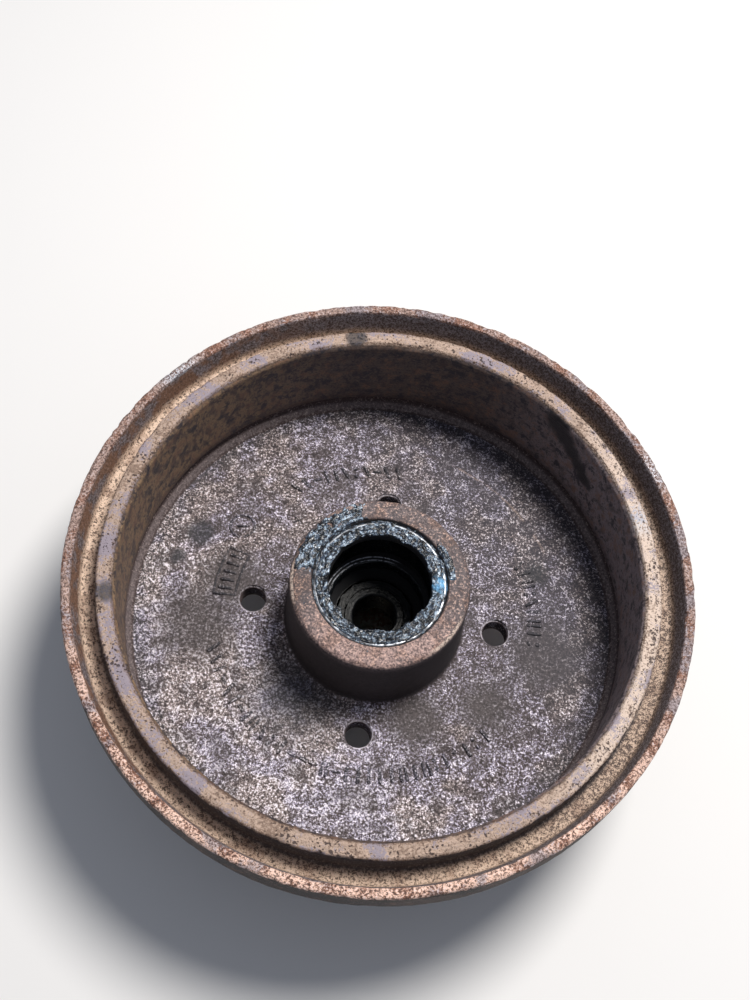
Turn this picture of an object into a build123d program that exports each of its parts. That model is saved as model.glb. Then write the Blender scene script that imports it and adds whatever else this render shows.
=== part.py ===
from build123d import *
import os
from math import asin, cos, pi, radians, sin, tan

# Rear brake drum with a wheel hub cast in one piece, lying with its open side up.
# Units are millimetres. The origin is the centre of the wheel's mounting face, on the
# spin axis. +Z points inboard, out of the open side of the drum.

# ---------------------------------------------------------------- driving dimensions
# drum
track_radius = 100.0          # brake shoes rub here
track_mouth_z = 53.5
track_root_z = 14.3
lip_outer_radius = 107.1      # inboard end of the barrel wall
lip_top_z = 55.9
lip_land_radius = 101.7       # the lead-in chamfer starts here
flange_radius = 120.0         # outer flange, which shrouds the backing plate's edge
flange_top_z = 56.0
flange_bottom_z = 38.0
flange_top_inner_radius = 116.3
groove_outer_radius = 113.7   # groove between the lip and the flange
groove_floor_z = 43.4
barrel_radius_at_flange = 108.5
barrel_radius_at_web = 107.5

# web, with the relief at the end of the track
relief_radius = 101.2
relief_floor_z = 9.9
web_rim_radius = 97.8
web_rim_z = 6.0
web_step_inner_radius = 62.0
web_step_outer_radius = 63.2
web_step_z = 8.6
web_z = 9.0

# wheel fixing
bolt_count = 4
bolt_circle_radius = 50.0
bolt_hole_radius = 5.2        # tapping size of the M12 x 1.5 thread
bolt_chamfer = 0.6            # on the inboard side only
register_radius = 28.5        # centres the wheel
nose_end_z = -13.0

# hub boss
boss_radius = 35.0
boss_root_radius = 36.0
boss_face_z = 46.8
seal_bore_radius = 26.0
seal_bore_floor_z = 38.0
cavity_radius = 19.6
cavity_step_z = 21.0
cavity_cone_z = 13.0
cap_bore_radius = 20.75
cap_bore_floor_z = -5.5

# inboard bearing cup
in_cup_radius = 25.146
in_cup_width = 10.668
in_cup_back_z = 26.53
in_cup_angle = 13.9
in_cup_mouth_radius = 23.5
in_shoulder_radius = 21.4

# outboard tapered roller bearing
out_cup_radius = 19.939
out_cup_width = 10.668
out_cup_back_z = 9.0
out_shoulder_radius = 16.4
cone_bore_radius = 8.731
cone_width = 14.605
bearing_width = 13.843
roller_count = 14
roller_length = 9.2
roller_mid_radius = 2.65
pitch_radius = 14.41          # from the spin axis to the middle of a roller
roller_mid_z = 3.5
apex_distance = 90.0          # from the shared apex to the middle of a roller
roller_recess_radius = 1.1    # shallow recess turned in the big end
roller_recess_depth = 0.3
rolling_gap = 0.04
big_rib_radius = 13.9
small_rib_radius = 11.85
cage_inner_offset = 0.95      # cage sheet, measured out from the roller's own axis
cage_outer_offset = 1.7
cage_flange_offset = -1.1
cage_overhang = 1.3
cage_end_gap = 0.55
window_side_gap = 0.10
window_end_gap = 0.15

# shaft seal
case_wall = 1.2
case_top_z = 45.0
case_bottom_z = 38.4
case_hole_radius = 22.0
lip_radius = 20.2
lip_edge_radius = 19.95
spring_ring_radius = 22.05
spring_ring_z = 41.3
spring_wire_radius = 0.62

# dust cap
cap_wall = 1.0
cap_skirt_top_z = -6.5
cap_flange_radius = 23.5
cap_body_radius = 21.5
cap_end_z = -27.0
cap_corner = 4.5

# grease
mouth_grease_inner = 20.9
mouth_grease_outer = 25.6
mouth_grease_height = 0.9
cavity_grease_depth = 1.2
cavity_grease_top_z = 20.2
cavity_grease_bottom_z = 13.4

# ---------------------------------------------------------------- bearing geometry
# Every roller, the cone track and the cup track share one apex on the spin axis.
axis_tilt = asin(pitch_radius / apex_distance)
roller_taper = asin(roller_mid_radius / apex_distance)
apex_z = roller_mid_z + apex_distance * cos(axis_tilt)
roller_small_end = apex_distance - roller_length / 2
roller_large_end = apex_distance + roller_length / 2
cone_back_z = out_cup_back_z - bearing_width
cone_front_z = cone_back_z + cone_width
out_cup_front_z = out_cup_back_z - out_cup_width
in_cup_front_z = in_cup_back_z + in_cup_width


def from_roller_axis(along, offset):
    """Radius and height of a point given along a roller's axis and out from it."""
    radius = along * sin(axis_tilt) + offset * cos(axis_tilt)
    height = apex_z - along * cos(axis_tilt) + offset * sin(axis_tilt)
    return (radius, height)


def roller_radius(along):
    return along * tan(roller_taper)


def cup_track_radius(z):
    """Radius of the outboard cup's track, one rolling gap outside the rollers."""
    angle = axis_tilt + roller_taper
    return (apex_z - z) * tan(angle) + rolling_gap / cos(angle)


def axial_plane(azimuth):
    """Half-plane through the spin axis: local x is the radius, local y is the height."""
    a = radians(azimuth)
    return Plane(origin=(0, 0, 0), x_dir=(cos(a), sin(a), 0), z_dir=(sin(a), -cos(a), 0))


def corners(sketch, points):
    """The sketch vertices that lie nearest the given points."""
    return [sketch.vertices().sort_by_distance((x, y, 0))[0] for x, y in points]


def save(part, name, colour):
    part.label = name
    part.color = Color(*colour)
    export_step(part, "parts/" + name + ".step")
    print(f"{name}: {part.volume:.1f} mm3")


def make_casting():
    """Brake drum, web, hub boss and nose in one casting."""
    foot_corner = (barrel_radius_at_web, 0)
    flange_under = (barrel_radius_at_flange, flange_bottom_z)
    flange_foot = (flange_radius, flange_bottom_z)
    flange_edge = (flange_radius, flange_top_z)
    groove_outer = (groove_outer_radius, groove_floor_z)
    groove_inner = (lip_outer_radius, groove_floor_z)
    lip_edge = (lip_outer_radius, lip_top_z)
    web_corner = (web_rim_radius, web_rim_z)
    boss_foot = (boss_root_radius, web_z)
    boss_edge = (boss_radius, boss_face_z)
    nose_edge = (register_radius, nose_end_z)
    outline = [
        (cap_bore_radius, nose_end_z),
        nose_edge,
        (register_radius, 0),
        foot_corner,
        flange_under,
        flange_foot,
        flange_edge,
        (flange_top_inner_radius, flange_top_z),
        groove_outer,
        groove_inner,
        lip_edge,
        (lip_land_radius, lip_top_z),
        (track_radius, track_mouth_z),
        (track_radius, track_root_z),
        (relief_radius, track_root_z - 1.2),
        (relief_radius, relief_floor_z),
        web_corner,
        (web_step_outer_radius, web_step_z),
        (web_step_inner_radius, web_z),
        boss_foot,
        boss_edge,
        (seal_bore_radius + 1.0, boss_face_z),
        (seal_bore_radius, boss_face_z - 1.0),
        (seal_bore_radius, seal_bore_floor_z),
        (in_cup_radius, seal_bore_floor_z),
        (in_cup_radius, in_cup_back_z),
        (in_shoulder_radius, in_cup_back_z),
        (in_shoulder_radius, cavity_step_z),
        (cavity_radius, cavity_step_z - 0.6),
        (cavity_radius, cavity_cone_z),
        (out_shoulder_radius, out_cup_back_z + 1.0),
        (out_shoulder_radius, out_cup_back_z),
        (out_cup_radius, out_cup_back_z),
        (out_cup_radius, cap_bore_floor_z),
        (cap_bore_radius, cap_bore_floor_z),
    ]
    with BuildPart() as casting:
        with BuildSketch(Plane.XZ) as section:
            with BuildLine():
                Polyline(*outline, close=True)
            make_face()
            fillet(corners(section, [foot_corner]), 6.0)
            fillet(corners(section, [flange_under]), 5.0)
            fillet(corners(section, [flange_foot, boss_foot]), 3.0)
            fillet(corners(section, [groove_outer, groove_inner]), 1.5)
            fillet(corners(section, [web_corner]), 2.0)
            fillet(corners(section, [flange_edge, lip_edge, boss_edge]), 1.2)
            chamfer(corners(section, [nose_edge]), 1.5)
        revolve(axis=Axis.Z)
        with BuildSketch(Plane.XY.offset(-1)):
            with PolarLocations(bolt_circle_radius, bolt_count):
                Circle(bolt_hole_radius)
        extrude(amount=web_z + 2, mode=Mode.SUBTRACT)
        hole_edges = casting.edges().filter_by(GeomType.CIRCLE)
        hole_edges = hole_edges.filter_by(lambda e: abs(e.radius - bolt_hole_radius) < 0.01)
        chamfer(hole_edges.group_by(Axis.Z)[-1], bolt_chamfer)
    return casting.part


def make_inboard_cup():
    """Outer race that the inboard cone and rollers run in."""
    back_radius = in_cup_mouth_radius - in_cup_width * tan(radians(in_cup_angle))
    back_edge = (in_cup_radius, in_cup_back_z)
    front_edge = (in_cup_radius, in_cup_front_z)
    with BuildPart() as cup:
        with BuildSketch(Plane.XZ) as section:
            with BuildLine():
                Polyline(
                    back_edge,
                    front_edge,
                    (in_cup_mouth_radius, in_cup_front_z),
                    (back_radius, in_cup_back_z),
                    close=True,
                )
            make_face()
            fillet(corners(section, [back_edge]), 1.3)
            fillet(corners(section, [front_edge]), 0.6)
        revolve(axis=Axis.Z)
    return cup.part


def make_outboard_cup():
    """Outer race pressed in from the wheel side."""
    back_edge = (out_cup_radius, out_cup_back_z)
    front_edge = (out_cup_radius, out_cup_front_z)
    with BuildPart() as cup:
        with BuildSketch(Plane.XZ) as section:
            with BuildLine():
                Polyline(
                    back_edge,
                    front_edge,
                    (cup_track_radius(out_cup_front_z), out_cup_front_z),
                    (cup_track_radius(out_cup_back_z), out_cup_back_z),
                    close=True,
                )
            make_face()
            fillet(corners(section, [back_edge]), 1.3)
            fillet(corners(section, [front_edge]), 0.6)
        revolve(axis=Axis.Z)
    return cup.part


def make_outboard_cone():
    """Inner race with a rib at each end of its track."""
    rib_face = roller_large_end + rolling_gap
    rib_offset = -roller_radius(rib_face) - rolling_gap
    rib_tip_offset = (big_rib_radius - rib_face * sin(axis_tilt)) / cos(axis_tilt)
    small_face = roller_small_end - 3 * rolling_gap
    small_offset = -roller_radius(small_face) - rolling_gap
    small_tip_offset = (small_rib_radius - small_face * sin(axis_tilt)) / cos(axis_tilt)
    bore_front = (cone_bore_radius, cone_front_z)
    bore_back = (cone_bore_radius, cone_back_z)
    with BuildPart() as cone:
        with BuildSketch(Plane.XZ) as section:
            with BuildLine():
                Polyline(
                    bore_back,
                    (big_rib_radius, cone_back_z),
                    from_roller_axis(rib_face, rib_tip_offset),
                    from_roller_axis(rib_face, rib_offset),
                    from_roller_axis(small_face, small_offset),
                    from_roller_axis(small_face, small_tip_offset),
                    (small_rib_radius, cone_front_z),
                    bore_front,
                    close=True,
                )
            make_face()
            fillet(corners(section, [bore_front]), 1.2)
            fillet(corners(section, [bore_back]), 0.6)
        revolve(axis=Axis.Z)
    return cone.part


def make_cage():
    """Pressed sheet cage with one tapered window for each roller."""
    small_rim = roller_small_end - cage_overhang
    large_rim = roller_large_end + cage_overhang - 0.4
    sheet_end = roller_small_end - cage_end_gap
    small_half = (roller_radius(roller_small_end) ** 2 - cage_inner_offset**2) ** 0.5
    large_half = (roller_radius(roller_large_end) ** 2 - cage_inner_offset**2) ** 0.5
    small_half = small_half + window_side_gap
    large_half = large_half + window_side_gap
    half_length = roller_length / 2 + window_end_gap
    with BuildPart() as cage:
        with BuildSketch(Plane.XZ):
            with BuildLine():
                Polyline(
                    from_roller_axis(small_rim, cage_outer_offset),
                    from_roller_axis(large_rim, cage_outer_offset),
                    from_roller_axis(large_rim, cage_inner_offset),
                    from_roller_axis(sheet_end, cage_inner_offset),
                    from_roller_axis(sheet_end, cage_flange_offset),
                    from_roller_axis(small_rim, cage_flange_offset),
                    close=True,
                )
            make_face()
        revolve(axis=Axis.Z)
        for i in range(roller_count):
            a = radians(360 / roller_count * i)
            mid_radius, mid_z = from_roller_axis(apex_distance, cage_inner_offset)
            outward = (cos(axis_tilt) * cos(a), cos(axis_tilt) * sin(a), sin(axis_tilt))
            along = (sin(axis_tilt) * cos(a), sin(axis_tilt) * sin(a), -cos(axis_tilt))
            middle = (mid_radius * cos(a), mid_radius * sin(a), mid_z)
            with BuildSketch(Plane(origin=middle, x_dir=along, z_dir=outward)):
                Polygon(
                    (-half_length, -small_half),
                    (half_length, -large_half),
                    (half_length, large_half),
                    (-half_length, small_half),
                    align=None,
                )
            extrude(amount=3, both=True, mode=Mode.SUBTRACT)
    return cage.part


def make_roller(azimuth):
    """One tapered roller, turned about its own tilted axis."""
    plane = axial_plane(azimuth)
    small_middle = from_roller_axis(roller_small_end, 0)
    recess_middle = from_roller_axis(roller_large_end - roller_recess_depth, 0)
    recess_floor = from_roller_axis(roller_large_end - roller_recess_depth, roller_recess_radius)
    recess_rim = from_roller_axis(roller_large_end, roller_recess_radius)
    small_edge = from_roller_axis(roller_small_end, roller_radius(roller_small_end))
    large_edge = from_roller_axis(roller_large_end, roller_radius(roller_large_end))
    start = plane.from_local_coords((small_middle[0], small_middle[1], 0))
    end = plane.from_local_coords((recess_middle[0], recess_middle[1], 0))
    with BuildPart() as roller:
        with BuildSketch(plane) as section:
            with BuildLine():
                Polyline(
                    small_middle,
                    small_edge,
                    large_edge,
                    recess_rim,
                    recess_floor,
                    recess_middle,
                    close=True,
                )
            make_face()
            fillet(corners(section, [small_edge, large_edge]), 0.3)
        revolve(axis=Axis(start, end - start))
    return roller.part


def make_seal_case():
    """Steel case of the shaft seal, an angle section pressed into the boss."""
    top_edge = (seal_bore_radius, case_top_z)
    with BuildPart() as case:
        with BuildSketch(Plane.XZ) as section:
            with BuildLine():
                Polyline(
                    (seal_bore_radius, case_bottom_z),
                    top_edge,
                    (case_hole_radius, case_top_z),
                    (case_hole_radius, case_top_z - case_wall),
                    (seal_bore_radius - case_wall, case_top_z - case_wall),
                    (seal_bore_radius - case_wall, case_bottom_z),
                    close=True,
                )
            make_face()
            fillet(corners(section, [top_edge]), 0.8)
        revolve(axis=Axis.Z)
    return case.part


def make_seal_lip():
    """Rubber lip moulded to the inner edge of the case."""
    with BuildPart() as lip:
        with BuildSketch(Plane.XZ):
            with BuildLine():
                Polyline(
                    (case_hole_radius, case_top_z),
                    (lip_radius + 0.7, case_top_z - 0.2),
                    (lip_radius, case_top_z - 1.4),
                    (lip_edge_radius, spring_ring_z),
                    (lip_radius + 0.3, spring_ring_z - 1.3),
                    (spring_ring_radius, spring_ring_z - 1.4),
                    (spring_ring_radius, spring_ring_z - 0.9),
                    (spring_ring_radius - 0.72, spring_ring_z - 0.7),
                    (spring_ring_radius - 0.72, spring_ring_z + 1.0),
                    (case_hole_radius, case_top_z - case_wall),
                    close=True,
                )
            make_face()
        revolve(axis=Axis.Z)
    return lip.part


def make_garter_spring():
    """Coiled ring that pulls the lip in, as the plain ring that it fills."""
    with BuildPart() as spring:
        with BuildSketch(Plane.XZ):
            with Locations((spring_ring_radius, spring_ring_z)):
                Circle(spring_wire_radius)
        revolve(axis=Axis.Z)
    return spring.part


def make_dust_cap():
    """Drawn steel cap pressed into the nose, with its closed end flat."""
    flange_z = nose_end_z - cap_wall
    inner_radius = cap_body_radius - cap_wall
    outer_corner = (cap_body_radius, cap_end_z)
    inner_corner = (inner_radius, cap_end_z + cap_wall)
    with BuildPart() as cap:
        with BuildSketch(Plane.XZ) as section:
            with BuildLine():
                Polyline(
                    (0, cap_end_z),
                    outer_corner,
                    (cap_body_radius, flange_z),
                    (cap_flange_radius, flange_z),
                    (cap_flange_radius, nose_end_z),
                    (cap_bore_radius, nose_end_z),
                    (cap_bore_radius, cap_skirt_top_z),
                    (cap_bore_radius - cap_wall, cap_skirt_top_z),
                    (cap_bore_radius - cap_wall, flange_z),
                    (inner_radius, flange_z - cap_wall),
                    inner_corner,
                    (0, cap_end_z + cap_wall),
                    close=True,
                )
            make_face()
            fillet(corners(section, [outer_corner]), cap_corner)
            fillet(corners(section, [inner_corner]), cap_corner - cap_wall)
        revolve(axis=Axis.Z)
    return cap.part


def make_grease_ring(inner, outer, bottom, top):
    """Soft grease as a plain ring."""
    with BuildPart() as grease:
        with BuildSketch(Plane.XY.offset(bottom)):
            Circle(outer)
            Circle(inner, mode=Mode.SUBTRACT)
        extrude(amount=top - bottom)
    return grease.part


# ---------------------------------------------------------------- the parts
iron = (0.36, 0.27, 0.23)
steel = (0.55, 0.55, 0.57)
rubber = (0.08, 0.08, 0.09)
zinc = (0.50, 0.47, 0.40)
grease_blue = (0.10, 0.13, 0.18)

os.makedirs("parts", exist_ok=True)
save(make_casting(), "drum_hub_casting", iron)
save(make_inboard_cup(), "inboard_bearing_cup", steel)
save(make_outboard_cup(), "outboard_bearing_cup", steel)
save(make_outboard_cone(), "outboard_bearing_cone", steel)
save(make_cage(), "outboard_bearing_cage", steel)
for number in range(roller_count):
    roller = make_roller(360 / roller_count * number)
    save(roller, f"roller_{number + 1:02d}", steel)
save(make_seal_case(), "shaft_seal_case", steel)
save(make_seal_lip(), "shaft_seal_lip", rubber)
save(make_garter_spring(), "seal_garter_spring", steel)
save(make_dust_cap(), "dust_cap", zinc)
mouth_grease = make_grease_ring(
    mouth_grease_inner, mouth_grease_outer, case_top_z, case_top_z + mouth_grease_height
)
save(mouth_grease, "mouth_grease", grease_blue)
cavity_grease = make_grease_ring(
    cavity_radius - cavity_grease_depth, cavity_radius, cavity_grease_bottom_z, cavity_grease_top_z
)
save(cavity_grease, "cavity_grease", grease_blue)

# The cage turns at this share of the cone's turn, and each roller spins backwards
# inside the cage at this many turns for each turn of the cone.
cone_track_angle = axis_tilt - roller_taper
cup_track_angle = axis_tilt + roller_taper
cage_ratio = sin(cone_track_angle) / (sin(cone_track_angle) + sin(cup_track_angle))
spin_ratio = -(1 - cage_ratio) * sin(cone_track_angle) / sin(roller_taper)
print(f"cage ratio {cage_ratio:.6f}, roller ratio {spin_ratio:.6f}")
print(f"roller axis tilt {axis_tilt * 180 / pi:.4f} degrees, roller middle z {roller_mid_z}")
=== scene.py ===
import bpy
import math
import random
from mathutils import Matrix, Vector, noise


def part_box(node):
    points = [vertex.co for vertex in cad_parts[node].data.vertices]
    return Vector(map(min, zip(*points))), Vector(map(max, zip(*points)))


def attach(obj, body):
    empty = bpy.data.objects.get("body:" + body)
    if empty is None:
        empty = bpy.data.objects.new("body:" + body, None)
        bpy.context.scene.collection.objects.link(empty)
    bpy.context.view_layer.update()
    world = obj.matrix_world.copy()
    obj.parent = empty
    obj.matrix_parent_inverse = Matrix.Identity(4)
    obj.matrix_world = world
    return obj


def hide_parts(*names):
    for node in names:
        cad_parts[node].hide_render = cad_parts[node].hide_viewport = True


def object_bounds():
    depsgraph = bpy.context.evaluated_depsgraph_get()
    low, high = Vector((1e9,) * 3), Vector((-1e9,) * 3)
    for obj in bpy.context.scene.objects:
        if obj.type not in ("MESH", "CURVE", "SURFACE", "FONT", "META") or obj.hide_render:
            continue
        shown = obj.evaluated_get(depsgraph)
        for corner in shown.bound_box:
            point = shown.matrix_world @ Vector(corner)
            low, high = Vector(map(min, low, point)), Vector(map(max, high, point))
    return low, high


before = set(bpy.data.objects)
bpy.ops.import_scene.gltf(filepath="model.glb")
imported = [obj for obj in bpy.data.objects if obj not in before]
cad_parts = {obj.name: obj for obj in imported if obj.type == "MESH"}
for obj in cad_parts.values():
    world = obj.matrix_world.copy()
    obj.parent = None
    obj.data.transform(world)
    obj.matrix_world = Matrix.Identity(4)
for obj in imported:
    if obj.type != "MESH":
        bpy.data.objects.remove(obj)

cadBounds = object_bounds()
random.seed(11)
noise.seed_set(11)             # vector noise takes its offsets from this
mm = 0.001                     # everything below is worked out in millimetres


def boxOf(node):
    low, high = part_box(node)
    return [value / mm for value in low], [value / mm for value in high]


# ---- small helpers for shapes
def smooth(value, low, high):
    share = min(max((value - low) / (high - low), 0.0), 1.0)
    return share * share * (3 - 2 * share)


def band(value, low, high, edge):
    return smooth(value, low - edge, low + edge) * (1 - smooth(value, high - edge, high + edge))


def turnBetween(first, second):
    # smallest turn between two azimuths, in degrees
    return abs((first - second + 180) % 360 - 180)


def onCircle(radius, azimuth, height=0.0):
    turn = math.radians(azimuth)
    return Vector((radius * math.cos(turn), radius * math.sin(turn), height))


def outlineRings(rows, arcSpacing=0.45):
    # each row is a radius, a height, the corner's own radius, and the ring spacing after it
    arcs = []
    openEnded = rows[0][0] == 0        # it starts and ends on the axis
    for i, (radius, height, corner, spacing) in enumerate(rows):
        here = Vector((radius, height))
        back = (Vector(rows[i - 1][:2]) - here).normalized()
        ahead = (Vector(rows[(i + 1) % len(rows)][:2]) - here).normalized()
        if not corner:
            arcs.append([here])
            continue
        half = back.angle(ahead) / 2
        bend = math.pi - 2 * half
        middle = here + (back + ahead).normalized() * (corner / math.sin(half))
        start = here + back * (corner / math.tan(half)) - middle
        end = here + ahead * (corner / math.tan(half)) - middle
        steps = max(2, math.ceil(bend * corner / arcSpacing))
        arc = []
        for k in range(steps + 1):
            fromStart = math.sin(bend * (1 - k / steps))
            fromEnd = math.sin(bend * k / steps)
            arc.append(middle + (start * fromStart + end * fromEnd) / math.sin(bend))
        arcs.append(arc)
    rings = []
    for i, arc in enumerate(arcs):
        rings += arc
        if openEnded and i == len(arcs) - 1:
            break
        start = arc[-1]
        end = arcs[(i + 1) % len(arcs)][0]
        steps = max(1, round((end - start).length / rows[i][3]))
        rings += [start.lerp(end, k / steps) for k in range(1, steps)]
    return rings


def shadeSmooth(mesh, sharpAngle=50):
    mesh.shade_smooth()
    mesh.set_sharp_from_angle(angle=math.radians(sharpAngle))


def newObject(name, vertices, faces, sharpAngle=50):
    mesh = bpy.data.meshes.new(name)
    mesh.from_pydata([vertex * mm for vertex in vertices], [], faces)
    mesh.validate()
    shadeSmooth(mesh, sharpAngle)
    piece = bpy.data.objects.new(name, mesh)
    bpy.context.scene.collection.objects.link(piece)
    return piece


def skin(name, rings, closed=True, sharpAngle=50):
    # rings of points round the axis, joined to the next ring, a ring of one point being a pole
    vertices = []
    first = []
    for ring in rings:
        first.append(len(vertices))
        vertices += ring
    faces = []
    for i in range(len(rings) if closed else len(rings) - 1):
        k = (i + 1) % len(rings)
        here, there = len(rings[i]), len(rings[k])
        for j in range(max(here, there)):
            n = (j + 1) % max(here, there)
            if here == 1:
                faces.append((first[i], first[k] + n, first[k] + j))
            elif there == 1:
                faces.append((first[i] + j, first[i] + n, first[k]))
            else:
                faces.append((first[i] + j, first[i] + n, first[k] + n, first[k] + j))
    return newObject(name, vertices, faces, sharpAngle)


def lathe(name, rows, segments, relief=None, arcSpacing=0.45):
    # turns an outline about the axis; relief gives the surface's own height above the outline
    profile = outlineRings(rows, arcSpacing)
    closed = rows[0][0] != 0
    rings = []
    for i, here in enumerate(profile):
        if here.x == 0:
            rings.append([Vector((0, 0, here.y))])
            continue
        along = profile[(i + 1) % len(profile)] - profile[i - 1]
        outward = Vector((along.y, -along.x)).normalized()
        ring = []
        for j in range(segments):
            turn = 2 * math.pi * j / segments
            point = Vector((here.x * math.cos(turn), here.x * math.sin(turn), here.y))
            if relief:
                lift = relief(point, here.x, here.y)
                point.x += outward.x * lift * math.cos(turn)
                point.y += outward.x * lift * math.sin(turn)
                point.z += outward.y * lift
            ring.append(point)
        rings.append(ring)
    return skin(name, rings, closed)


def place(piece, finish, slot, *nodes):
    # every worn piece turns with the drum
    piece.data.materials.clear()
    piece.data.materials.append(finish)
    piece.data.polygons.foreach_set("material_index", [0] * len(piece.data.polygons))
    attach(piece, "drum")
    if nodes:
        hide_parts(*nodes)


# ---- shader maths
# a socket of a material; arithmetic on it adds the Math nodes
class Wire:
    def __init__(self, finish, socket):
        self.finish = finish
        self.socket = socket

    def __add__(self, other):
        return self.finish.maths("ADD", self, other)

    def __radd__(self, other):
        return self.finish.maths("ADD", other, self)

    def __sub__(self, other):
        return self.finish.maths("SUBTRACT", self, other)

    def __rsub__(self, other):
        return self.finish.maths("SUBTRACT", other, self)

    def __mul__(self, other):
        return self.finish.maths("MULTIPLY", self, other)

    def __rmul__(self, other):
        return self.finish.maths("MULTIPLY", other, self)


class Finish:
    def __init__(self, name):
        self.material = bpy.data.materials.new(name)
        self.material.use_nodes = True
        self.tree = self.material.node_tree
        self.tree.nodes.clear()
        self.at = self.node("TexCoord", out=3)
        self.mmAt = self.node("VectorMath", {"operation": "SCALE"}, {0: self.at, "Scale": 1 / mm})
        parts = self.tree.nodes.new("ShaderNodeSeparateXYZ")
        self.tree.links.new(self.mmAt.socket, parts.inputs[0])
        self.x, self.y, self.z = [Wire(self, socket) for socket in parts.outputs]
        flat = self.node("CombineXYZ", sockets={0: self.x, 1: self.y})
        self.radius = self.node("VectorMath", {"operation": "LENGTH"}, {0: flat}, out=1)

    # any node: its settings are set first, then the values or links of its sockets
    def node(self, kind, settings=None, sockets=None, out=0):
        made = self.tree.nodes.new("ShaderNode" + kind)
        for name, value in (settings or {}).items():
            setattr(made, name, value)
        for key, value in (sockets or {}).items():
            if isinstance(value, Wire):
                self.tree.links.new(value.socket, made.inputs[key])
            elif isinstance(value, tuple) and made.inputs[key].type == "RGBA":
                made.inputs[key].default_value = (*value, 1.0)
            else:
                made.inputs[key].default_value = value
        return Wire(self, made.outputs[out]) if made.outputs else None

    def maths(self, operation, first, second=0.0):
        return self.node("Math", {"operation": operation}, {0: first, 1: second})

    # the greatest of several shares
    def most(self, first, *others):
        for other in others:
            first = self.maths("MAXIMUM", first, other)
        return first

    # from 0 at low to 1 at high, with soft ends
    def ramp(self, value, low, high):
        ends = {"Value": value, "From Min": low, "From Max": high}
        return self.node("MapRange", {"interpolation_type": "SMOOTHSTEP"}, ends)

    def between(self, value, low, high, edge):
        return self.ramp(value, low - edge, low + edge) * (1 - self.ramp(value, high - edge, high + edge))

    # fractal noise about 0.5, with so many features per millimetre
    def noise(self, scale, detail=3.0, roughness=0.55, at=None):
        look = {"Vector": at or self.mmAt, "Scale": scale, "Detail": detail, "Roughness": roughness}
        return self.node("TexNoise", sockets=look)

    # three noises at once, for bending other textures
    def noiseColour(self, scale):
        return self.node("TexNoise", sockets={"Vector": self.mmAt, "Scale": scale, "Detail": 2.0}, out=1)

    # distance from the middle of the nearest of scattered cells
    def cells(self, scale, at):
        return self.node("TexVoronoi", sockets={"Vector": at, "Scale": scale})

    # coordinates stretched along the turning direction, for scoring and smears
    def combed(self, along, across, upright):
        squeezed = {0: self.x * along, 1: self.y * along, 2: self.radius * across + self.z * upright}
        return self.node("CombineXYZ", sockets=squeezed)

    def mix(self, share, first, second):
        return self.node("Mix", {"data_type": "RGBA"}, {0: share, 6: first, 7: second}, out=2)

    # share of a soft-edged spot about a point
    def spot(self, centre, reach, blur, wobble=None):
        away = self.node("VectorMath", {"operation": "DISTANCE"}, {0: self.mmAt, 1: tuple(centre)}, out=1)
        if wobble:
            away = away + wobble
        return 1 - self.ramp(away, reach - blur, reach + blur)

    def bump(self, height, strength, distance):
        look = {"Strength": strength, "Distance": distance * mm, "Height": height}
        return self.node("Bump", sockets=look)

    def surface(self, **sockets):
        named = {key.replace("_", " "): value for key, value in sockets.items()}
        shader = self.node("BsdfPrincipled", sockets=named)
        self.node("OutputMaterial", sockets={0: shader})
        return self.material


def shaded(colour, factor):
    return tuple(value * factor for value in colour)


# ---- the floor, the light and the camera
stage = {
    "floorReach": 3000.0,
    "floorGap": 0.1,                # kept under the lowest point of the drum
    "floorColour": (0.86, 0.855, 0.85),
    "skyColour": (0.80, 0.86, 1.0),
    "skyStrength": 0.27,
    "lampPower": 17.0,
    "lampColour": (1.0, 0.965, 0.92),
    "lampSize": 0.42,
    "lampDistance": 1.25,
    "lampAzimuth": 50.0,
    "lampElevation": 68.0,
}
camera = {
    "lens": 48.6,
    "aim": (-6.16, 52.13, 9.0),
    "distance": 574.8,
    "elevation": 64.31,
    "heading": -90.875,
    "roll": 8.97,
}


def towards(azimuth, elevation):
    lift = math.radians(elevation)
    return onCircle(math.cos(lift), azimuth, math.sin(lift))


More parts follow.
